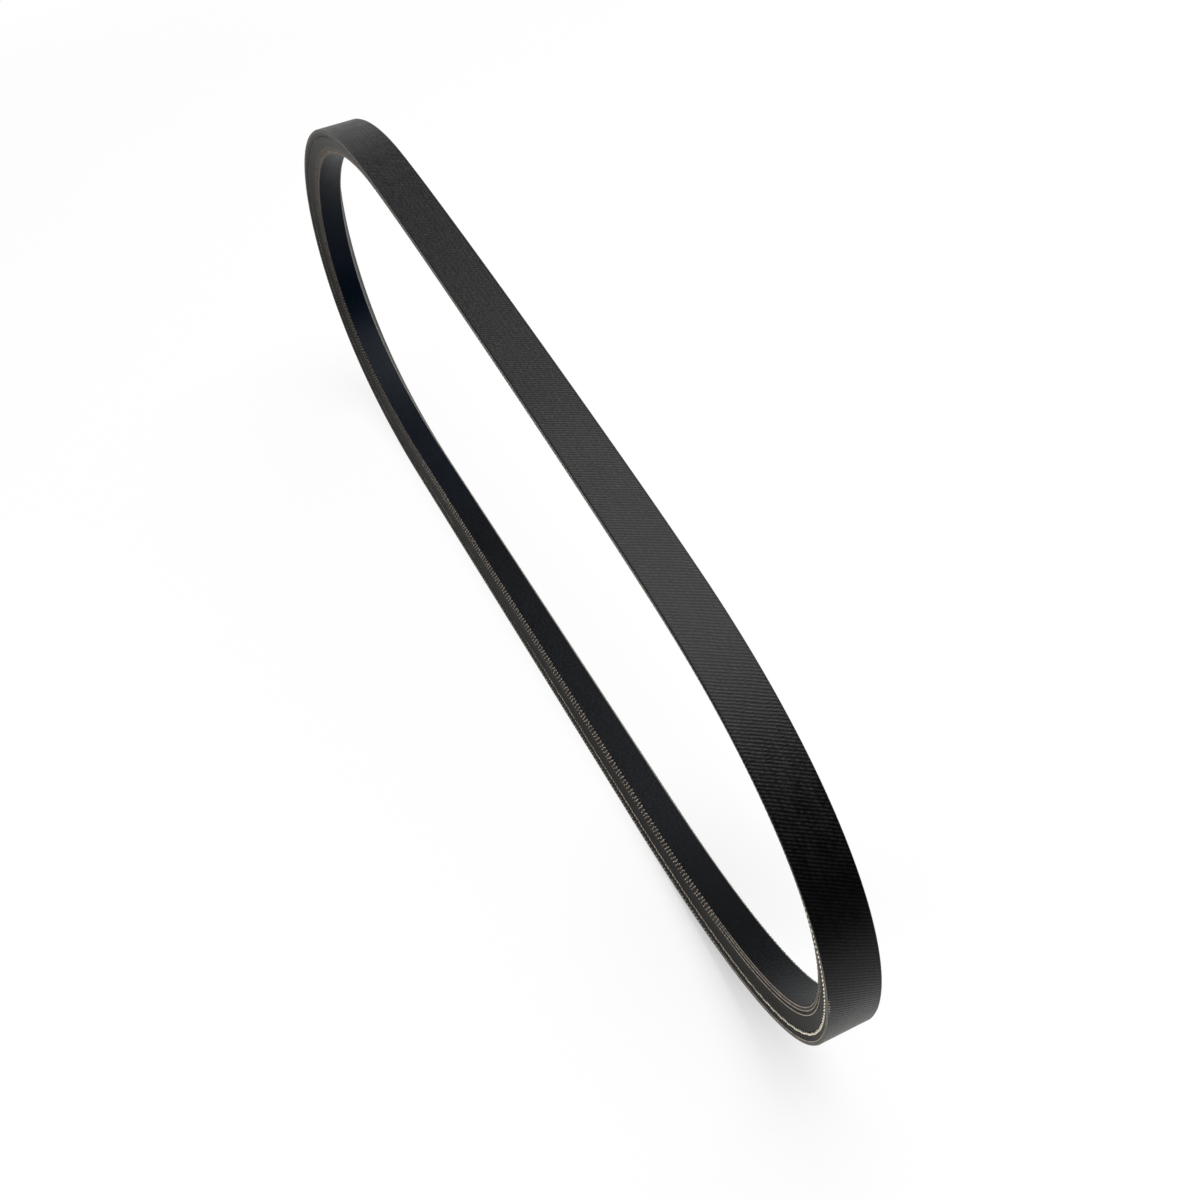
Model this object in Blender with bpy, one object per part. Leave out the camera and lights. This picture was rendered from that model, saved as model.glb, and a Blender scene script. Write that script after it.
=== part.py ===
"""Raw-edge V belt for a car's air conditioning compressor.

The belt is one closed loop of one V section. It stands on its back on a
straight stretch, in the uneven oval that a slack belt of this length takes.
Metres, +Z up: the loop lies in the XZ plane, its long axis along X and the
belt's width along Y. The origin is on the surface it stands on, midway
between the two ends of the loop.
"""

import math

import bmesh
import bpy
from mathutils import Vector

MM = 0.001

# The V section, from the back (the wide outer face) to the inner face
TOP_WIDTH = 13.0 * MM
THICKNESS = 8.0 * MM
FLANK_ANGLE = math.radians(18.0)
BACK_CORNER_RADIUS = 0.4 * MM
INNER_CORNER_RADIUS = 0.3 * MM
CORNER_STEPS = 2

# Lines on the cut flank, as depths below the back: the ends of the fabric
# plies and of the tension cord stand a little proud of the ground rubber
BACK_PLY_DEPTH = 0.95 * MM
CORD_DEPTH = 2.50 * MM
INNER_PLY_DEPTHS = (6.15 * MM, 7.05 * MM)
PLY_WIDTH = 0.36 * MM
PLY_RISE = 0.08 * MM
CORD_WIDTH = 0.60 * MM
CORD_RISE = 0.14 * MM

# The loop's outline, measured on the back of the belt
LOOP_LENGTH = 354.0 * MM
LOOP_HEIGHT = 127.0 * MM
REST_START_X = -91.0 * MM
REST_END_X = 75.0 * MM
NEAR_NOSE_HEIGHT = 49.0 * MM
FAR_NOSE_HEIGHT = 52.0 * MM
SHOULDER_X = 109.0 * MM
SHOULDER_HEIGHT = 107.0 * MM
SHOULDER_SLOPE = math.radians(11.0)
CROWN_X = -79.0 * MM

# How far each bend's pull reaches along its tangent
REST_START_PULL = 77.0 * MM
REST_END_PULL = 27.0 * MM
NEAR_NOSE_PULL_BELOW = 49.0 * MM
NEAR_NOSE_PULL_ABOVE = 20.0 * MM
SHOULDER_PULL_NEAR = 55.0 * MM
SHOULDER_PULL_CROWN = 37.0 * MM
CROWN_PULL_SHOULDER = 29.0 * MM
CROWN_PULL_FAR = 55.0 * MM
FAR_NOSE_PULL_ABOVE = 36.0 * MM
FAR_NOSE_PULL_BELOW = 16.0 * MM

# The section's rings stand where the loop has turned by one more share of
# the full turn, so that every facet bends by the same small angle
RINGS_PER_TURN = 140
RING_TURN = 2 * math.pi / RINGS_PER_TURN
STEPS_PER_BEND = 600

WELD_DISTANCE = 0.001 * MM
SHARP_EDGE_ANGLE = math.radians(30.0)

BELT_NAME = "v_belt"
RUBBER_COLOUR = (0.022, 0.022, 0.024, 1.0)
RUBBER_ROUGHNESS = 0.62


def clear_scene():
    """Remove whatever the new file holds, such as the start-up cube."""
    for existing in list(bpy.data.objects):
        bpy.data.objects.remove(existing, do_unlink=True)


def new_collection(name):
    """Add a collection to the scene."""
    collection = bpy.data.collections.new(name)
    bpy.context.scene.collection.children.link(collection)
    return collection


def corner(centre, radius, start_angle, end_angle):
    """Points round one corner of the section, both ends included."""
    points = []
    for step in range(CORNER_STEPS + 1):
        angle = start_angle + (end_angle - start_angle) * step / CORNER_STEPS
        x = centre[0] + radius * math.cos(angle)
        y = centre[1] + radius * math.sin(angle)
        points.append((x, y))
    return points


def flank_point(depth, rise=0.0):
    """A point of the right flank at a depth below the back.

    A rise moves it out of the flank, square to the flank's plane.
    """
    across = TOP_WIDTH / 2 - depth * math.tan(FLANK_ANGLE)
    return (across + rise * math.cos(FLANK_ANGLE), depth + rise * math.sin(FLANK_ANGLE))


def bead(depth, width, rise):
    """The low ridge that a ply's or the cord's cut end makes on the flank."""
    return [
        flank_point(depth - width / 2),
        flank_point(depth, rise),
        flank_point(depth + width / 2),
    ]


def half_section():
    """The section's right half, from the back down to the inner face."""
    back_centre = (
        TOP_WIDTH / 2 - BACK_CORNER_RADIUS * (1 + math.sin(FLANK_ANGLE)) / math.cos(FLANK_ANGLE),
        BACK_CORNER_RADIUS,
    )
    inner_half = TOP_WIDTH / 2 - THICKNESS * math.tan(FLANK_ANGLE)
    inner_centre = (
        inner_half - INNER_CORNER_RADIUS * (1 - math.sin(FLANK_ANGLE)) / math.cos(FLANK_ANGLE),
        THICKNESS - INNER_CORNER_RADIUS,
    )
    points = corner(back_centre, BACK_CORNER_RADIUS, -math.pi / 2, FLANK_ANGLE)
    points += bead(BACK_PLY_DEPTH, PLY_WIDTH, PLY_RISE)
    points += bead(CORD_DEPTH, CORD_WIDTH, CORD_RISE)
    for depth in INNER_PLY_DEPTHS:
        points += bead(depth, PLY_WIDTH, PLY_RISE)
    points += corner(inner_centre, INNER_CORNER_RADIUS, FLANK_ANGLE, math.pi / 2)
    return points


def section_curve(collection):
    """The whole V section as a closed flat curve, to sweep round the loop."""
    right = half_section()
    left = [(-across, depth) for across, depth in reversed(right)]
    outline = right + left
    curve = bpy.data.curves.new("belt_section", "CURVE")
    curve.dimensions = "2D"
    spline = curve.splines.new("POLY")
    spline.points.add(len(outline) - 1)
    for point, (across, depth) in zip(spline.points, outline):
        point.co = (across, depth, 0.0, 1.0)
    spline.use_cyclic_u = True
    guide = bpy.data.objects.new("belt_section", curve)
    guide.hide_render = True
    guide.display_type = "WIRE"
    collection.objects.link(guide)
    return guide


def loop_stations():
    """Where the outline is pinned, in order round the loop.

    Each station has its place in the XZ plane, its direction of travel as
    an angle from +X, and the pull before and after it. No pull means that
    the stretch on that side is straight.
    """
    half_length = LOOP_LENGTH / 2
    return [
        ((REST_START_X, 0.0), 0.0, REST_START_PULL, None),
        ((REST_END_X, 0.0), 0.0, None, REST_END_PULL),
        ((half_length, NEAR_NOSE_HEIGHT), math.pi / 2, NEAR_NOSE_PULL_BELOW, NEAR_NOSE_PULL_ABOVE),
        ((SHOULDER_X, SHOULDER_HEIGHT), math.pi - SHOULDER_SLOPE, SHOULDER_PULL_NEAR, SHOULDER_PULL_CROWN),
        ((CROWN_X, LOOP_HEIGHT), math.pi, CROWN_PULL_SHOULDER, CROWN_PULL_FAR),
        ((-half_length, FAR_NOSE_HEIGHT), -math.pi / 2, FAR_NOSE_PULL_ABOVE, FAR_NOSE_PULL_BELOW),
    ]


def bend_points(start, end):
    """One bend between two stations, as close-set places and headings."""
    start_place, start_heading, _, pull_after = start
    end_place, end_heading, pull_before, _ = end
    first = Vector(start_place)
    last = Vector(end_place)
    second = first + pull_after * Vector((math.cos(start_heading), math.sin(start_heading)))
    third = last - pull_before * Vector((math.cos(end_heading), math.sin(end_heading)))
    points = []
    for step in range(STEPS_PER_BEND + 1):
        after = step / STEPS_PER_BEND
        before = 1 - after
        place = before**3 * first + 3 * before**2 * after * second
        place += 3 * before * after**2 * third + after**3 * last
        travel = before**2 * (second - first) + 2 * before * after * (third - second)
        travel += after**2 * (last - third)
        points.append((place, math.atan2(travel.y, travel.x) % (2 * math.pi)))
    return points


def ring_places():
    """Where the section's rings stand, in order round the loop."""
    stations = loop_stations()
    places = [Vector(stations[0][0]), Vector(stations[1][0])]
    turned = RING_TURN
    for start, end in zip(stations[1:], stations[2:] + stations[:1]):
        points = bend_points(start, end)
        for (here, heading), (there, next_heading) in zip(points, points[1:]):
            if heading < turned <= next_heading:
                places.append(here.lerp(there, (turned - heading) / (next_heading - heading)))
                turned += RING_TURN
    return places


def loop_curve(collection, section):
    """The belt's run: the section swept along the back's outline."""
    curve = bpy.data.curves.new("belt_run", "CURVE")
    curve.dimensions = "3D"
    curve.twist_mode = "MINIMUM"
    curve.bevel_mode = "OBJECT"
    curve.bevel_object = section
    places = ring_places()
    spline = curve.splines.new("POLY")
    spline.points.add(len(places) - 1)
    spline.use_cyclic_u = True
    for point, place in zip(spline.points, places):
        point.co = (place.x, 0.0, place.y, 1.0)
    run = bpy.data.objects.new("belt_run", curve)
    collection.objects.link(run)
    return run


def rubber_material():
    """Black rubber with a dull cut surface."""
    material = bpy.data.materials.new("belt_rubber")
    material.use_nodes = True
    shader = material.node_tree.nodes["Principled BSDF"]
    shader.inputs["Base Color"].default_value = RUBBER_COLOUR
    shader.inputs["Roughness"].default_value = RUBBER_ROUGHNESS
    shader.inputs["Metallic"].default_value = 0.0
    return material


def belt_solid(run, collection):
    """Turn the swept curve into one closed mesh whose faces point out."""
    bpy.context.view_layer.update()
    evaluated = run.evaluated_get(bpy.context.evaluated_depsgraph_get())
    mesh = bpy.data.meshes.new_from_object(evaluated)
    mesh.name = BELT_NAME
    body = bmesh.new()
    body.from_mesh(mesh)
    bmesh.ops.remove_doubles(body, verts=body.verts, dist=WELD_DISTANCE)
    bmesh.ops.recalc_face_normals(body, faces=body.faces)
    body.to_mesh(mesh)
    body.free()
    mesh.shade_smooth()
    mesh.set_sharp_from_angle(angle=SHARP_EDGE_ANGLE)
    mesh.materials.clear()
    mesh.materials.append(rubber_material())
    belt = bpy.data.objects.new(BELT_NAME, mesh)
    belt.matrix_world = run.matrix_world
    collection.objects.link(belt)
    bpy.data.objects.remove(run, do_unlink=True)
    return belt


def main():
    clear_scene()
    parts = new_collection("air_conditioning_belt")
    guides = new_collection("guides")
    section = section_curve(guides)
    run = loop_curve(parts, section)
    belt_solid(run, parts)


main()
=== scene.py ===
import math
import random

import bpy
from mathutils import Matrix, Vector


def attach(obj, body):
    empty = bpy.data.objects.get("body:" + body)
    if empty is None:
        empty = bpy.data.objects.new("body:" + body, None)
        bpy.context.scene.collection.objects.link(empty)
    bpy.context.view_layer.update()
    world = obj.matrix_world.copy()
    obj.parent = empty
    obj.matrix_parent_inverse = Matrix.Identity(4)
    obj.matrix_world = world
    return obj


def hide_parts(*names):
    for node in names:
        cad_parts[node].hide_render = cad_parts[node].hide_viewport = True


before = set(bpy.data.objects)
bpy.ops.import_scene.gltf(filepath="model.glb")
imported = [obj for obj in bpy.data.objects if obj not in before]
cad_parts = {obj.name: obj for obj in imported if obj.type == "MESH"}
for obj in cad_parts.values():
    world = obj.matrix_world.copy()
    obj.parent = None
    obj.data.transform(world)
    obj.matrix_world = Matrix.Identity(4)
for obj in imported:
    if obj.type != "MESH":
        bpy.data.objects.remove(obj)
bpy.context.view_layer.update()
mm = 0.001

# the belt's V section, in mm and degrees
section = {
    "halfBack": 6.5,            # half the back's width, before its corners are rounded
    "thickness": 8.0,
    "flankAngle": 18,           # off the loop's plane
    "cordDepth": 2.5,           # depths are measured below the back
    "plyDepths": (0.95, 6.15, 7.05, 7.75),
}
flankTurn = math.radians(section["flankAngle"])
slope = math.tan(flankTurn)
farShift = 0.05                 # metres that move the far flank's patterns off the near one's


def deselect():
    if bpy.context.object and bpy.context.object.mode != "OBJECT":
        bpy.ops.object.mode_set(mode="OBJECT")
    bpy.ops.object.select_all(action="DESELECT")


def onlyThis(piece):
    deselect()
    piece.select_set(True)
    bpy.context.view_layer.objects.active = piece


def justAdded(name):
    # what an operator has just made, under its own name
    piece = bpy.context.object
    piece.name = piece.data.name = name
    return piece


def joined(name, pieces):
    deselect()
    for piece in pieces:
        piece.select_set(True)
    bpy.context.view_layer.objects.active = pieces[0]
    bpy.ops.object.join()
    return justAdded(name)


def applyAll(piece):
    onlyThis(piece)
    for modifier in list(piece.modifiers):
        bpy.ops.object.modifier_apply(modifier=modifier.name)


def applyPlace(piece):
    onlyThis(piece)
    bpy.ops.object.transform_apply(location=True, rotation=True, scale=True)


def turnUpright(piece):
    # a quarter turn about X, put into the mesh
    piece.rotation_euler = (math.radians(90), 0, 0)
    applyPlace(piece)


def repeat(piece, step, count, merge=True):
    row = piece.modifiers.new("row", "ARRAY")
    row.count = count
    row.use_relative_offset = False
    row.use_constant_offset = True
    row.constant_offset_displace = (step, 0, 0)
    row.use_merge_vertices = merge
    row.merge_threshold = 0.004 * mm
    applyAll(piece)


def flankPoint(depth, rise=0.0):
    # depth and rise in mm; gives the point's place across the belt and its height, in metres
    across = section["halfBack"] - depth * slope + rise * math.cos(flankTurn)
    return across * mm, -(depth + rise * math.sin(flankTurn)) * mm


def backPoints(points):
    # places across and depths below the back, as the section's own across and height
    return [(across * mm, -depth * mm) for across, depth in points]


def otherSide(points):
    return [(-across, height) for across, height in reversed(points)]


def tidyMesh(piece, smooth, merge=0.01 * mm):
    onlyThis(piece)
    bpy.ops.object.mode_set(mode="EDIT")
    bpy.ops.mesh.select_all(action="SELECT")
    bpy.ops.mesh.remove_doubles(threshold=merge)
    bpy.ops.mesh.normals_make_consistent(inside=False)
    bpy.ops.object.mode_set(mode="OBJECT")
    bpy.ops.object.shade_smooth_by_angle(angle=math.radians(smooth))


def sectionCell(name, outline, step, columns):
    # a ring of section points, extruded along X into one short cell
    deselect()
    bpy.ops.mesh.primitive_circle_add(vertices=len(outline), radius=0.01)
    cell = justAdded(name)
    for vertex, (across, height) in zip(cell.data.vertices, outline):
        vertex.co = (0, across, height)
    bpy.ops.object.mode_set(mode="EDIT")
    bpy.ops.mesh.select_all(action="SELECT")
    for _ in range(columns):
        bpy.ops.mesh.extrude_edges_move(TRANSFORM_OT_translate={"value": (step, 0, 0)})
    bpy.ops.object.mode_set(mode="OBJECT")
    return cell


def surfaceMap(piece, rule):
    # UVs in metres: along the belt, and across it or down its flank
    while piece.data.uv_layers:
        piece.data.uv_layers.remove(piece.data.uv_layers[0])
    layer = piece.data.uv_layers.new(name="UVMap")
    points = [vertex.co for vertex in piece.data.vertices]
    for face in piece.data.polygons:
        for place, corner in zip(face.loop_indices, face.vertices):
            layer.data[place].uv = rule(points[corner], face.center)


def downFlank(point, centre):
    return point.x, -point.z + (farShift if centre.y < 0 else 0)


def bendRound(piece):
    # lay a straight strip round the loop: X along, Y towards the near side, Z outwards
    turnUpright(piece)
    bend = piece.modifiers.new("bend", "CURVE")
    bend.object = beltRun
    bend.deform_axis = "POS_X"
    applyAll(piece)
    turnUpright(piece)


def finishPiece(piece, materials=()):
    for material in materials:
        piece.data.materials.append(material)
    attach(piece, "root")
    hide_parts("v_belt")
    print(piece.name + ":", len(piece.data.polygons), "faces")


class Wire:
    # one output socket, with plain arithmetic on it
    def __init__(self, tree, socket=None):
        self.tree = tree
        self.socket = socket

    def add(self, kind, settings=None, sockets=None, output=0):
        node = self.tree.nodes.new(kind)
        for name, value in (settings or {}).items():
            setattr(node, name, value)
        for key, value in (sockets or {}).items():
            if isinstance(value, Wire):
                self.tree.links.new(value.socket, node.inputs[key])
            else:
                node.inputs[key].default_value = value
        return Wire(self.tree, node.outputs[output])

    def output(self, key):
        # another output of the same node
        return Wire(self.tree, self.socket.node.outputs[key])

    def math(self, operation, other=0.0, swapped=False):
        first, second = (other, self) if swapped else (self, other)
        return self.add("ShaderNodeMath", {"operation": operation}, {0: first, 1: second})

    def __add__(self, other):
        return self.math("ADD", other)

    def __mul__(self, other):
        return self.math("MULTIPLY", other)

    def __sub__(self, other):
        return self.math("SUBTRACT", other)

    def __truediv__(self, other):
        return self.math("DIVIDE", other)

    __radd__ = __add__
    __rmul__ = __mul__

    def __rsub__(self, other):
        return self.math("SUBTRACT", other, swapped=True)

    def __rtruediv__(self, other):
        return self.math("DIVIDE", other, swapped=True)

    def atLeast(self, other):
        return self.math("MAXIMUM", other)

    def atMost(self, other):
        return self.math("MINIMUM", other)

    def clamped(self):
        return self.atLeast(0.0).atMost(1.0)

    def wave(self):
        # 1 at every full turn, 0 half way between
        return self.math("COSINE") * 0.5 + 0.5

    def between(self, low, high):
        # 0 below low, 1 above high, and a soft step between
        return self.add("ShaderNodeMapRange", {"interpolation_type": "SMOOTHSTEP"},
                        {"Value": self, "From Min": low, "From Max": high})

    def past(self, rises, full):
        # 0 before one place and 1 past another, both in mm
        return self.between(rises * mm, full * mm)

    def until(self, fades, gone):
        return 1 - self.past(fades, gone)

    def stretch(self, rises, full, fades, gone):
        return self.past(rises, full) * self.until(fades, gone)

    def nearTo(self, place, full, gone):
        # 1 within one distance of a place, 0 past another, all in mm
        return (self - place * mm).math("ABSOLUTE").until(full, gone)

    def colours(self, low, high):
        return self.add("ShaderNodeMix", {"data_type": "RGBA"},
                        {0: self, 6: low, 7: high}, output=2)

    def scaled(self, scale, offset):
        return self.add("ShaderNodeMapping", None, {0: self, 1: (*offset, 0), 3: (*scale, 1)})

    def noise(self, scale, offset=(0, 0), detail=2.0, rough=0.5):
        # scale is in patches to the metre, along the belt and across it
        return self.add("ShaderNodeTexNoise", None, {
            "Vector": self.scaled(scale, offset), "Scale": 1.0, "Detail": detail, "Roughness": rough})

    def specks(self, scale, offset=(0, 0)):
        return self.add("ShaderNodeTexVoronoi", None, {"Vector": self.scaled(scale, offset), "Scale": 1.0})


def newFinish(name, gloss):
    # a material, its UV wire, and the wires for metres along the belt and across it
    material = bpy.data.materials.new(name)
    material.use_nodes = True
    tree = material.node_tree
    tree.nodes["Principled BSDF"].inputs["Specular IOR Level"].default_value = gloss
    uv = Wire(tree).add("ShaderNodeTexCoord", output=2)
    along = uv.add("ShaderNodeSeparateXYZ", None, {0: uv})
    return material, uv, along, along.output(1)


def dress(material, colour, roughness, height, relief, strength=1.0):
    tree = material.node_tree
    shader = tree.nodes["Principled BSDF"]
    tree.links.new(colour.socket, shader.inputs["Base Color"])
    tree.links.new(roughness.socket, shader.inputs["Roughness"])
    bump = colour.add("ShaderNodeBump", None,
                      {"Height": height, "Distance": relief, "Strength": strength})
    tree.links.new(bump.socket, shader.inputs["Normal"])
    return material


# the belt's run on its back, anticlockwise as the near side sees it: place in the loop's plane,
# direction of travel, and pull before and after it, in mm and degrees
restPull = (75 + 91) / 3        # the straight stretch that it stands on, in thirds
runStations = [
    ((75, 0), 0, restPull, 27),
    ((177, 49), 90, 49, 20),
    ((109, 107), 169, 55, 37),
    ((-79, 127), 180, 29, 55),
    ((-177, 52), 270, 36, 16),
    ((-91, 0), 0, 77, restPull),
]

deselect()
bpy.ops.curve.primitive_bezier_curve_add(radius=1, location=(0, 0, 0))
beltRun = justAdded("belt_run")
beltRun.data.dimensions = "3D"
beltRun.data.twist_mode = "Z_UP"
beltRun.data.resolution_u = 200
runLine = beltRun.data.splines[0]
runLine.bezier_points.add(len(runStations) - 2)     # it starts with two
runLine.use_cyclic_u = True
for knot, (place, heading, before, after) in zip(runLine.bezier_points, runStations):
    travel = Vector((math.cos(math.radians(heading)), math.sin(math.radians(heading)), 0))
    knot.handle_left_type = knot.handle_right_type = "FREE"
    knot.co = Vector((*place, 0)) * mm
    knot.handle_left = knot.co - travel * before * mm
    knot.handle_right = knot.co + travel * after * mm
runLength = runLine.calc_length()
print("belt run, mm round the back:", round(runLength / mm, 2))


# both cloths share one weave
weave = {
    "repeats": 955,             # ribs round the belt
    "rowStep": 0.3205 * mm,     # across the belt
    "rowLean": 0.1741 * mm,     # how far each row is moved on by the threads' slant
    "start": 4,                 # ribs, which keep the slanted first column past the run's start
}
weave["pitch"] = runLength / weave["repeats"]

# where the lower end bend opens the plies up, by four places along the belt in mm,
# and the reach of the thin line that each ply then shows
lowerBend = (205, 235, 360, 420)
plyLineReach = (0.05, 0.13)


def ribs(along, across):
    # the threads that cross the belt on the slant, and lie over the others
    lean = weave["rowLean"] / weave["pitch"] / weave["rowStep"]
    return ((along / weave["pitch"] + across * lean) * (2 * math.pi)).wave()


def plyLine(across):
    # a thin line along the middle of each cut ply
    lines = sum(across.nearTo(depth, *plyLineReach) for depth in section["plyDepths"])
    return lines.atMost(1.0)


backFinish = {
    "gloss": 0.165,
    "relief": 0.045 * mm,
    "holes": (0.0006, 0.0006, 0.0010, 1),
    "threads": (0.0300, 0.0295, 0.0300, 1),
    "paintedSheenGrey": (0.082, 0.081, 0.074, 1),
    "dust": (0.34, 0.33, 0.31, 1),
    "frays": (0.30, 0.27, 0.22, 1),
    "paintedShadeAt": (292, 305, 318, 350),    # painted shade, just above the lower end bend
    "paintedShadeMidAt": (430, 470, 540, 580),     # painted shade over the middle of the upper run
    "paintedSheenAt": (225, 262, 280, 300),     # painted sheen round the lower end bend
    "fraysAt": (296, 1.5, 3),           # a place and its reach along the belt
    "fraysPast": (-6.15, -5.85),        # and across it
    "waver": 0.5 * mm,                  # of the ribs
}


def makeBackCloth():
    material, uv, along, across = newFinish("black_back_cloth", backFinish["gloss"])
    drift = uv.noise((240, 130), (2, 5)) - 0.5
    ridge = ribs(along + drift * backFinish["waver"], across)
    knots = (across * (math.pi / 2 / weave["rowStep"])).math("COSINE")
    weft = (1 - knots * knots) * (1 - ridge)
    worn = uv.noise((1500, 1000), (0.4, 6), rough=0.6)
    fibre = uv.noise((5200, 5200), detail=3.0, rough=0.6)
    patch = uv.noise((160, 420), detail=3.0, rough=0.6)
    rubbed = uv.noise((35, 500), (3.1, 0.7))
    tops = ridge * (knots * 0.12 + 0.88) * (worn.between(0.30, 0.70) * 0.60 + 0.50)
    shade = (tops * 1.2 + weft * 0.1 + fibre * 0.9 + patch * 0.8 - 1.05).clamped()
    # painted shade: the colour is darkened just above the lower end bend
    black = along.stretch(*backFinish["paintedShadeAt"])
    # painted shade: the colour is darkened over the middle of the upper run
    dark = along.stretch(*backFinish["paintedShadeMidAt"])
    paintedSheen = along.stretch(*backFinish["paintedSheenAt"])
    shade = shade * (1 - black * 0.7 - dark * 0.45)
    colour = shade.colours(backFinish["holes"], backFinish["threads"])
    # painted sheen: the threads are painted paler grey round the lower end bend
    colour = (paintedSheen * (tops * 0.5 + 0.4)).colours(colour, backFinish["paintedSheenGrey"])
    dust = 1 - uv.specks((620, 620)).between(0.045, 0.075)
    dust = dust * uv.noise((90, 90)).between(0.60, 0.68)
    colour = dust.colours(colour, backFinish["dust"])
    # a few threads are frayed pale at the near edge
    frayed = along.nearTo(*backFinish["fraysAt"]) * across.until(*backFinish["fraysPast"])
    frayed = frayed * (ridge + worn - 0.5).between(0.5, 0.8)
    colour = frayed.colours(colour, backFinish["frays"])
    rough = 0.35 - tops * (dark * 0.10 + 0.13) + patch * 0.16 + rubbed * 0.05 - fibre * 0.08 + dark * 0.06
    height = (tops + weft * 0.2 + fibre * 0.5 + worn * 0.6) * (1 - black * 0.5)
    return dress(material, colour, rough, height, backFinish["relief"])


innerFinish = {
    "gloss": 0.085,
    "tint": (0.84, 0.93, 1.0, 1),       # of its gloss
    "relief": 0.040 * mm,
    "holes": (0.0003, 0.0004, 0.0011, 1),
    "threads": (0.0082, 0.0090, 0.0118, 1),
    "rubbed": (0.030, 0.0325, 0.0325, 1),
    "cool": (0.0006, 0.0034, 0.0085, 1),
    "dust": (0.28, 0.28, 0.28, 1),
    # the far corner's painted reflection
    "corner": (0.34, 0.34, 0.31, 1),
    "cutEnd": (0.34, 0.28, 0.23, 1),
    "paintedShadeAt": (170, 200, 222, 240),    # painted shade before the lower end bend, and again at the run's start
    "paintedShadeUntil": (40, 80),
    "palerBendAt": (236, 262, 285, 310),   # paler inside the lower end bend
    "coolFrom": (640, 720),             # bluer where it turns away at the higher end
    "coolUntil": (5, 60),
    "paintedReflectionPast": (3.60, 3.84),         # across the belt
    "cutAt": (-3.96, 0.03, 0.08),
}


def makeInnerCloth():
    material, uv, along, across = newFinish("blue_black_inner_cloth", innerFinish["gloss"])
    shader = material.node_tree.nodes["Principled BSDF"]
    shader.inputs["Specular Tint"].default_value = innerFinish["tint"]
    threads = uv.noise((1300, 1300), (8, 3), rough=0.6)
    fibre = uv.noise((5200, 5200), detail=3.0, rough=0.6)
    patch = uv.noise((120, 300), (1.3, 4.1), 3.0, 0.6)
    speckle = threads.between(0.40, 0.62) * 0.7 + ribs(along, across) * 0.3
    # painted shade: the colour is darkened before the lower end bend and near the run's start
    black = along.stretch(*innerFinish["paintedShadeAt"]) + along.until(*innerFinish["paintedShadeUntil"])
    shade = (speckle * 0.9 + fibre * 0.35 + patch * 0.4 - 0.45).clamped() * (1 - black * 0.75)
    colour = shade.colours(innerFinish["holes"], innerFinish["threads"])
    # paler inside the lower end bend
    rubbed = along.stretch(*innerFinish["palerBendAt"])
    colour = (rubbed * 0.75).colours(colour, innerFinish["rubbed"])
    cool = along.past(*innerFinish["coolFrom"]) + along.until(*innerFinish["coolUntil"])
    colour = (cool.atMost(1.0) * 0.7).colours(colour, innerFinish["cool"])
    dust = 1 - uv.specks((500, 500), (7, 2)).between(0.04, 0.07)
    dust = dust * uv.noise((70, 70)).between(0.62, 0.70)
    colour = dust.colours(colour, innerFinish["dust"])
    # painted reflection: the far corner is painted pale, and at the lower end bend the near one shows the
    # cloth's cut
    corner = across.past(*innerFinish["paintedReflectionPast"]) * 0.8
    colour = corner.colours(colour, innerFinish["corner"])
    cut = along.stretch(*lowerBend) * across.nearTo(*innerFinish["cutAt"]) * 0.6
    colour = cut.colours(colour, innerFinish["cutEnd"])
    rough = 0.36 + patch * 0.10 - speckle * 0.08
    return dress(material, colour, rough, speckle + fibre * 0.5, innerFinish["relief"])


rubberFinish = {
    "gloss": 0.025,
    "relief": 0.016 * mm,
    "low": (0.0045, 0.0045, 0.0044, 1),
    "high": (0.028, 0.0268, 0.0244, 1),
    "fibres": (0.115, 0.105, 0.090, 1),
    "scratches": (0.075, 0.070, 0.064, 1),
    "plyLines": (0.42, 0.37, 0.31, 1),
}


def makeGroundRubber():
    material, uv, along, across = newFinish("ground_flank_rubber", rubberFinish["gloss"])
    grind = uv.noise((260, 9000), detail=4.0, rough=0.6)
    scratch = uv.noise((60, 5200), (2, 9))
    grain = uv.noise((5200, 6400), detail=3.0, rough=0.65)
    patch = uv.noise((110, 260), detail=3.0, rough=0.6)
    fibres = (1 - uv.specks((1400, 4600)).between(0.10, 0.26)) * grain.between(0.45, 0.62)
    shade = (grind * 0.5 + grain * 0.35 + patch * 0.5 - 0.25).clamped()
    colour = shade.colours(rubberFinish["low"], rubberFinish["high"])
    colour = (fibres * 0.75).colours(colour, rubberFinish["fibres"])
    colour = (scratch.between(0.66, 0.74) * 0.5).colours(colour, rubberFinish["scratches"])
    # the plies' lines are broken ones
    broken = uv.noise((700, 700), (3, 8), 3.0, 0.7).between(0.30, 0.66)
    lines = along.stretch(*lowerBend) * plyLine(across) * (broken * 0.75 + 0.35)
    colour = lines.atMost(1.0).colours(colour, rubberFinish["plyLines"])
    rough = 0.36 + grain * 0.16 - scratch * 0.06
    height = grind * 0.5 + grain * 0.4 + fibres * 0.5
    return dress(material, colour, rough, height, rubberFinish["relief"])


edgeFinish = {
    "gloss": 0.05,
    "relief": 0.016 * mm,
    "dark": (0.008, 0.0076, 0.0068, 1),
    "pale": (0.20, 0.187, 0.164, 1),
    "plyStep": 0.34 * mm,
    "lean": 5200,                       # radians to the metre, down the flank
}


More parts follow.
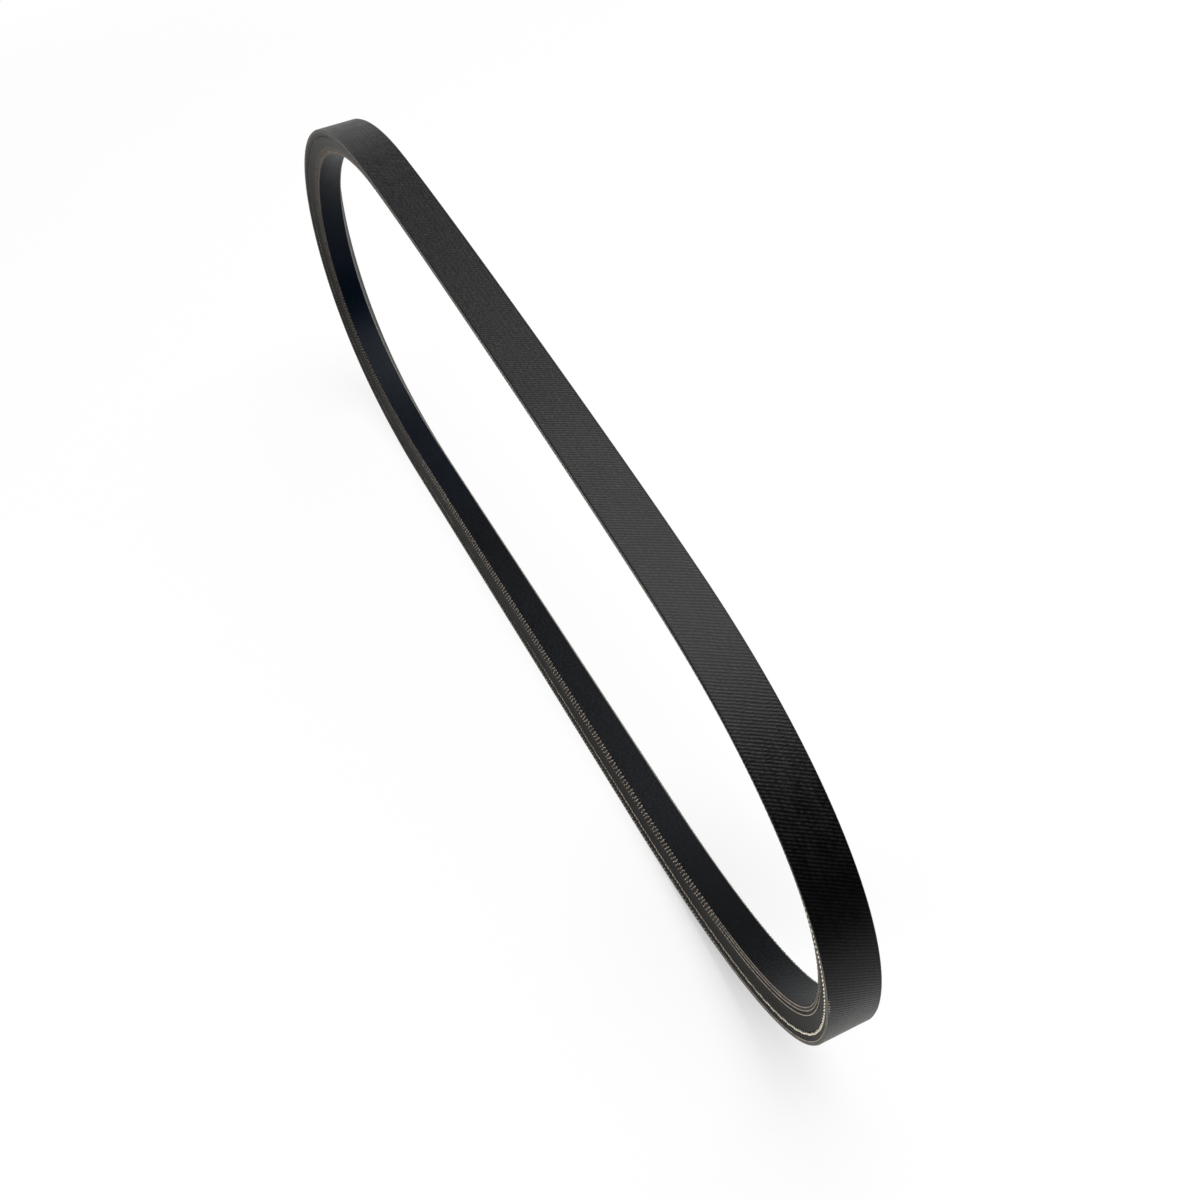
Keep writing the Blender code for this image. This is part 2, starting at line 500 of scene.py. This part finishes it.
def makeCutCloth():
    # the cut end of the back's plies, seen on the flank
    material, uv, along, across = newFinish("cut_cloth_edge", edgeFinish["gloss"])
    lines = (across * (2 * math.pi / edgeFinish["plyStep"])).wave()
    dashes = (along * (2 * math.pi / weave["pitch"]) + across * edgeFinish["lean"]).wave()
    grain = uv.noise((2600, 7000), detail=3.0, rough=0.65)
    shade = (lines * (dashes * 0.5 + 0.5) * 0.9 + grain * 0.6 - 0.3).clamped()
    colour = shade.colours(edgeFinish["dark"], edgeFinish["pale"])
    rough = 0.42 + grain * 0.16
    return dress(material, colour, rough, lines * dashes + grain * 0.4, edgeFinish["relief"])


plyFinish = {
    "gloss": 0.04,
    "relief": 0.03 * mm,
    "dark": (0.085, 0.068, 0.051, 1),
    "pale": (0.62, 0.51, 0.41, 1),
    "bent": (0.022, 0.020, 0.018, 1),
    "brown": (0.085, 0.060, 0.047, 1),
    "brownFrom": (540, 620),            # dull towards the higher end
    "strength": 0.8,                    # of the relief
}


def makePlyEnds():
    material, uv, along, across = newFinish("tan_ply_ends", plyFinish["gloss"])
    grain = uv.noise((6000, 6000), detail=3.0, rough=0.65)
    patch = uv.noise((420, 900))
    shade = (grain * 0.7 + patch * 1.3 - 0.55).clamped()
    colour = shade.colours(plyFinish["dark"], plyFinish["pale"])
    # round the lower end bend only a thin line of each ply stays pale
    beside = along.stretch(*lowerBend) * (1 - plyLine(across))
    colour = beside.colours(colour, plyFinish["bent"])
    brown = along.past(*plyFinish["brownFrom"])
    colour = (brown * 0.55).colours(colour, plyFinish["brown"])
    rough = 0.62 + grain * 0.16
    return dress(material, colour, rough, grain, plyFinish["relief"], plyFinish["strength"])


cordShape = {
    "turns": 309,               # of the strands' twist, round the belt
    "steps": 12,                # and to a turn
    "sides": 7,
    "strandRadius": 0.155,
    "offset": 0.165,            # a strand's centre off the cord's
    "sunk": 0.09,               # the cord's centre below the flank, where it stands out most
    "deeper": 0.19,             # and how much deeper it is elsewhere
    "proudAt": (215, 265, 295, 335),
    "sway": 0.07,               # how far it wanders up and down, and over what length
    "swayLength": 4.6,
    "swayDrift": (7, 2),        # how often round the belt the waves bunch, and by how much
}

cordFinish = {
    "gloss": 0.15,
    "relief": 0.04 * mm,
    "soiled": (0.050, 0.045, 0.038, 1),
    "cream": (0.84, 0.775, 0.64, 1),
    "midAt": (70, 150, 480, 560),
    "brightAt": (228, 268, 300, 360),   # cleanest where the lower end bend opens it up
    "strength": 0.8,                    # of the relief
}


def makeCord():
    material, uv, along, across = newFinish("cream_tension_cord", cordFinish["gloss"])
    grain = uv.noise((2400, 9000), detail=3.0, rough=0.65)
    soil = uv.noise((75, 600), (5, 1), 3.0, 0.6)
    middle = along.stretch(*cordFinish["midAt"])
    bright = along.stretch(*cordFinish["brightAt"])
    clean = (soil.between(0.40, 0.62) * 0.12 + 0.04 + middle * 0.26 + bright * 0.62).atMost(1.0)
    crest = (along * (4 * math.pi * cordShape["turns"] / runLength)).wave()
    lumps = uv.noise((330, 330), (9, 4), rough=0.6).between(0.36, 0.62)
    shade = (clean * (grain * 0.5 + 0.72) * (crest * 0.65 + 0.40) * (lumps * 0.5 + 0.95)).atMost(1.0)
    colour = shade.colours(cordFinish["soiled"], cordFinish["cream"])
    rough = 0.58 + grain * 0.2
    return dress(material, colour, rough, grain, cordFinish["relief"], cordFinish["strength"])


backCloth = makeBackCloth()
innerCloth = makeInnerCloth()
groundRubber = makeGroundRubber()
cutCloth = makeCutCloth()
plyTan = makePlyEnds()
cordCream = makeCord()
print("finishes made")


def weaveHeight(column, row):
    # 1 on a thread's back, 0 in the hole between four crossings
    if column % 2 == 0:
        return {0: 1.0, 2: 0.7}.get(row % 4, 0.85)
    return 0.3 if row % 2 else 0.0


def wovenStrip(name, shape):
    # two columns of points make one rib; rows of them make the face, and its edges are plain
    half = shape["rows"] // 2
    level = shape["level"] * mm
    face = [(row * weave["rowStep"], level) for row in range(-half, half + 1)]
    edge = backPoints(shape["edge"])
    step = weave["pitch"] / 2
    strip = sectionCell(name, face + edge + otherSide(edge), step, 2)
    for vertex in strip.data.vertices:
        column = round(vertex.co.x / step)
        row = max(-half, min(half, round(vertex.co.y / weave["rowStep"])))
        onFace = abs(vertex.co.y) < (half + 0.2) * weave["rowStep"]
        if onFace and abs(vertex.co.z - level) < 0.001 * mm:
            vertex.co.z -= shape["outwards"] * shape["relief"] * (1 - weaveHeight(column, row))
        vertex.co.x += weave["start"] * weave["pitch"] + row * weave["rowLean"]
    repeat(strip, weave["pitch"], weave["repeats"])
    return strip


backShape = {
    "rows": 37,
    "level": 0.0,
    "outwards": 1,
    "relief": 0.10 * mm,
    "edge": [(5.95, 0.0), (6.262, 0.148), (6.3295, 0.50), (6.214, 0.88)],  # across and depth
    "cutBelow": 0.17 * mm,      # the edge's faces that show the plies' cut ends
    "cutPast": 6.1 * mm,
}
back = wovenStrip("back_cloth", backShape)
surfaceMap(back, lambda point, centre: (point.x, -point.y if centre.z > -backShape["cutBelow"] else -point.z))
back.data.materials.append(backCloth)
back.data.materials.append(cutCloth)
for face in back.data.polygons:
    onEdge = face.center.z < -backShape["cutBelow"] and abs(face.center.y) > backShape["cutPast"]
    face.material_index = 1 if onEdge else 0
bendRound(back)
tidyMesh(back, smooth=60)
finishPiece(back)

innerShape = {
    "rows": 23,
    "level": -section["thickness"],
    "outwards": -1,
    "relief": 0.055 * mm,
    "edge": [(3.683, 8.0), (3.866, 7.938), (3.968, 7.793), (4.122, 7.32)],
}
inner = wovenStrip("inner_cloth", innerShape)
surfaceMap(inner, lambda point, centre: (point.x, -point.y))
bendRound(inner)
tidyMesh(inner, smooth=60)
finishPiece(inner, [innerCloth])

# the body's half outline, from under the back cloth to under the inner one, in mm
bodyShape = {
    "rings": 330,
    "underBack": [(5.55, 0.5), (6.02, 0.84)],       # across and depth
    "underInner": [(3.95, 7.36), (3.5, 7.6)],
    "flankFrom": (0.92, 1.13),
    "cordGroove": [(-0.40, 0.0), (-0.26, -0.15), (0.26, -0.15), (0.40, 0.0)],  # off its depth, and rise
    "flankMiddle": 4.3,
    "plyWidth": 0.36,
    "plyRise": 0.045,
    "flankTo": 7.28,
}
flank = [(depth, 0.0) for depth in bodyShape["flankFrom"]]
flank += [(section["cordDepth"] + lower, rise) for lower, rise in bodyShape["cordGroove"]]
flank.append((bodyShape["flankMiddle"], 0.0))
for depth in section["plyDepths"][1:3]:
    flank.append((depth - bodyShape["plyWidth"] / 2, 0.0))
    flank.append((depth, bodyShape["plyRise"]))
    flank.append((depth + bodyShape["plyWidth"] / 2, 0.0))
flank.append((bodyShape["flankTo"], 0.0))
halfOutline = backPoints(bodyShape["underBack"])
halfOutline += [flankPoint(depth, rise) for depth, rise in flank]
halfOutline += backPoints(bodyShape["underInner"])
ringStep = runLength / bodyShape["rings"]
body = sectionCell("belt_body", halfOutline + otherSide(halfOutline), ringStep, 1)
repeat(body, ringStep, bodyShape["rings"])
surfaceMap(body, downFlank)
bendRound(body)
tidyMesh(body, smooth=30)
finishPiece(body, [groundRubber])


# the cut ends of the plies' threads, a row to each ply depth
plyRows = {
    "repeats": 635,             # thread ends along each cut ply
    "length": 1.00,
    "thick": 0.35,
    "stand": (0.05, 0.09, 0.09, 0.09),
    "slant": (32, 59, 59, 59),
    "sunk": 0.01,               # their centres below the flank
    "startAt": 0.5,             # of the second row; the others are moved on with their depth
    "moveOn": 0.6,
    "uneven": (0.24, 0.05),     # how far a thread's end strays along the ply, and off its line
}


def threadEnd(depth, slant, stand, side):
    # a short slanted lens, its flat side turned to the flank
    deselect()
    bpy.ops.mesh.primitive_uv_sphere_add(segments=6, ring_count=4, radius=0.5)
    bead = bpy.context.object
    bead.scale = (plyRows["length"] * mm, plyRows["thick"] * mm, 2 * stand * mm)
    applyPlace(bead)
    bead.rotation_euler = (0, 0, math.radians(slant))
    applyPlace(bead)
    across, height = flankPoint(depth, -plyRows["sunk"])
    along = plyRows["startAt"] + (depth - section["plyDepths"][1]) * plyRows["moveOn"]
    bead.rotation_euler = (math.radians(-(90 + section["flankAngle"]) * side), 0, 0)
    bead.location = (along * mm, across * side, height)
    applyPlace(bead)
    return bead


def plyEnds(name, side):
    rows = zip(section["plyDepths"], plyRows["slant"], plyRows["stand"])
    beads = [threadEnd(depth, slant, stand, side) for depth, slant, stand in rows]
    ends = joined(name, beads)
    perBead = len(ends.data.vertices) // len(beads)
    repeat(ends, runLength / plyRows["repeats"], plyRows["repeats"], merge=False)
    stray = random.Random(11)
    for start in range(0, len(ends.data.vertices), perBead):
        forward = stray.uniform(-1, 1) * plyRows["uneven"][0] * mm
        lower = stray.uniform(-1, 1) * plyRows["uneven"][1] * mm
        for vertex in ends.data.vertices[start:start + perBead]:
            vertex.co.x += forward
            vertex.co.y += lower * slope * side
            vertex.co.z += lower
    surfaceMap(ends, downFlank)
    bendRound(ends)
    tidyMesh(ends, smooth=60, merge=0.0005 * mm)
    finishPiece(ends, [plyTan])


plyEnds("ply_ends_near", 1)
plyEnds("ply_ends_far", -1)


def smoothStep(value, low, high):
    share = max(0.0, min(1.0, (value - low) / (high - low)))
    return share * share * (3 - 2 * share)


def cordSink(along):
    # how much deeper the cord lies than at the lower end bend
    rises, full, fades, gone = cordShape["proudAt"]
    proud = smoothStep(along / mm, rises, full) * (1 - smoothStep(along / mm, fades, gone))
    return cordShape["deeper"] * (1 - proud) * mm


def cordStrand(side):
    # a ring off the cord's middle, screwed once round the whole belt
    deselect()
    bpy.ops.mesh.primitive_circle_add(vertices=cordShape["sides"], radius=cordShape["strandRadius"] * mm,
                                      rotation=(0, math.radians(90), 0))
    strand = bpy.context.object
    strand.location = (0, cordShape["offset"] * mm * side, 0)
    applyPlace(strand)
    twist = strand.modifiers.new("twist", "SCREW")
    twist.axis = "X"
    twist.screw_offset = runLength / cordShape["turns"]
    twist.angle = 2 * math.pi
    twist.iterations = cordShape["turns"]
    twist.steps = twist.render_steps = cordShape["steps"]
    twist.use_smooth_shade = True
    applyAll(strand)
    return strand


def cordLine(name, side):
    cord = joined(name, [cordStrand(1), cordStrand(-1)])
    across, height = flankPoint(section["cordDepth"], -cordShape["sunk"])
    waves = round(runLength / mm / cordShape["swayLength"])
    often, much = cordShape["swayDrift"]
    for vertex in cord.data.vertices:
        sink = cordSink(vertex.co.x)
        phase = 2 * math.pi * vertex.co.x / runLength
        sway = cordShape["sway"] * mm * math.sin(waves * phase + much * math.sin(often * phase))
        outwards = vertex.co.y + across - sink * math.cos(flankTurn) + sway * math.sin(flankTurn)
        vertex.co.y = side * outwards
        vertex.co.z = vertex.co.z + height + sink * math.sin(flankTurn) + sway * math.cos(flankTurn)
    surfaceMap(cord, downFlank)
    bendRound(cord)
    tidyMesh(cord, smooth=80, merge=0.004 * mm)
    finishPiece(cord, [cordCream])


cordLine("cord_near", 1)
cordLine("cord_far", -1)
bpy.data.objects.remove(beltRun, do_unlink=True)


stageShape = {
    "floorSize": 9.0,
    "floorDrop": 0.03 * mm,
    "floorColour": (0.96, 0.96, 0.96, 1),
    "lift": (0.46, 0.42),       # plain backdrop white under the lower end, and added away from it
    "shadowAt": (0.120, 0, 0),
    "shadowReach": (0.004, 0.060),
    "farLift": 0.3,             # and added once more far from the belt, between these distances
    "farFrom": (0.45, 0.95),
    "cardSize": (1.2, 1.4),
    "cardPlace": (0.40, 0.10, 0.55),
    "cardColour": (0.002, 0.002, 0.002, 1),
    "wallTop": (0.25, 0.55),    # the white wall that gloss sees ends between these heights of view
    "ambient": 0.10,
}

deselect()
bpy.ops.mesh.primitive_plane_add(size=stageShape["floorSize"], location=(0, 0, 0))
floor = justAdded("white_floor")
floor.location.z = -stageShape["floorDrop"]
applyPlace(floor)

floorWhite = bpy.data.materials.new("white_table")
floorWhite.use_nodes = True
tree = floorWhite.node_tree
tree.nodes.clear()
spot = Wire(tree).add("ShaderNodeTexCoord", output=3)
fromMiddle = spot.add("ShaderNodeVectorMath", {"operation": "LENGTH"}, {0: spot}, output=1)
fromShadow = spot.add("ShaderNodeVectorMath", {"operation": "DISTANCE"},
                      {0: spot, 1: stageShape["shadowAt"]}, output=1)
rays = Wire(tree).add("ShaderNodeLightPath")
seen = rays.output("Is Camera Ray") + rays.output("Is Glossy Ray") + rays.output("Is Transmission Ray")
lift = fromShadow.between(*stageShape["shadowReach"]) * stageShape["lift"][1] + stageShape["lift"][0]
lift = (fromMiddle.between(*stageShape["farFrom"]) * stageShape["farLift"] + lift).atMost(1.0)
matt = spot.add("ShaderNodeBsdfDiffuse", None, {"Color": stageShape["floorColour"]})
glow = spot.add("ShaderNodeEmission", None, {"Color": (1, 1, 1, 1), "Strength": 1.0})
mix = spot.add("ShaderNodeMixShader", None, {0: lift * seen.atMost(1.0), 1: matt, 2: glow})
tree.links.new(mix.socket, tree.nodes.new("ShaderNodeOutputMaterial").inputs["Surface"])
floor.data.materials.append(floorWhite)

# a black card beside the camera, which only the belt's gloss sees
deselect()
bpy.ops.mesh.primitive_grid_add(x_subdivisions=2, y_subdivisions=2, size=1)
card = justAdded("black_card")
card.scale = (*stageShape["cardSize"], 1)
card.rotation_euler = (0, math.radians(90), 0)
card.location = stageShape["cardPlace"]
applyPlace(card)
for kind in ("camera", "diffuse", "shadow", "transmission", "volume_scatter"):
    setattr(card, "visible_" + kind, False)
cardBlack = bpy.data.materials.new("black_felt")
cardBlack.use_nodes = True
felt = cardBlack.node_tree.nodes["Principled BSDF"]
felt.inputs["Base Color"].default_value = stageShape["cardColour"]
felt.inputs["Specular IOR Level"].default_value = 0
card.data.materials.append(cardBlack)

# white for the camera all round, and for gloss up to the wall's top
world = bpy.data.worlds.new("plain_studio")
bpy.context.scene.world = world
world.use_nodes = True
tree = world.node_tree
rays = Wire(tree).add("ShaderNodeLightPath")
upwards = Wire(tree).add("ShaderNodeTexCoord")
upwards = upwards.add("ShaderNodeSeparateXYZ", None, {0: upwards}, output=2)
wall = 1 - upwards.between(*stageShape["wallTop"])
mirrors = (rays.output("Is Glossy Ray") + rays.output("Is Transmission Ray")).atMost(1.0)
white = rays.output("Is Camera Ray").atLeast(mirrors * wall)
strength = white * (1 - stageShape["ambient"]) + stageShape["ambient"]
backdrop = tree.nodes["Background"]
tree.links.new(strength.socket, backdrop.inputs["Strength"])
backdrop.inputs["Color"].default_value = (1, 1, 1, 1)

lampTarget = Vector((0.03, 0, 0.04))
lamps = [
    # name, from, size, power in watts, and whether gloss mirrors it
    ("overhead_softbox", (-0.15, 0.32, 1.10), (1.0, 1.0), 15.0, True),
    ("near_side_fill", (0.30, -0.42, 0.12), (0.30, 0.20), 1.6, False),
]
for name, place, size, watts, inGloss in lamps:
    deselect()
    bpy.ops.object.light_add(type="AREA", location=place)
    lamp = justAdded(name)
    lamp.data.shape = "RECTANGLE"
    lamp.data.size, lamp.data.size_y = size
    lamp.data.energy = watts
    lamp.visible_glossy = inGloss
    lamp.rotation_euler = (lampTarget - Vector(place)).to_track_quat("-Z", "Y").to_euler()
print("stage and lamps set")


# the photograph's view: the camera's place in mm, the picture's directions, and the lens on a 36 mm sensor
view = {
    "place": (293.69, -87.40, 308.52),
    "right": (0.42623685, 0.90033337, -0.08787475),
    "down": (0.60691962, -0.35665031, -0.71024582),
    "forward": (-0.67079857, 0.24940003, -0.6984475),
    "sensor": 36,
    "lens": 41.6592,
}
cameraData = bpy.data.cameras.new("camera")
cameraData.sensor_width = view["sensor"]
cameraData.lens = view["lens"]
cameraData.clip_start = 0.01
camera = bpy.data.objects.new("camera", cameraData)
bpy.context.scene.collection.objects.link(camera)
axes = Matrix([Vector(view["right"]), -Vector(view["down"]), -Vector(view["forward"])]).transposed()
camera.matrix_world = Matrix.Translation(Vector(view["place"]) * mm) @ axes.to_4x4()
bpy.context.scene.camera = camera
bpy.context.scene.view_settings.view_transform = "Standard"

print("scene ready")
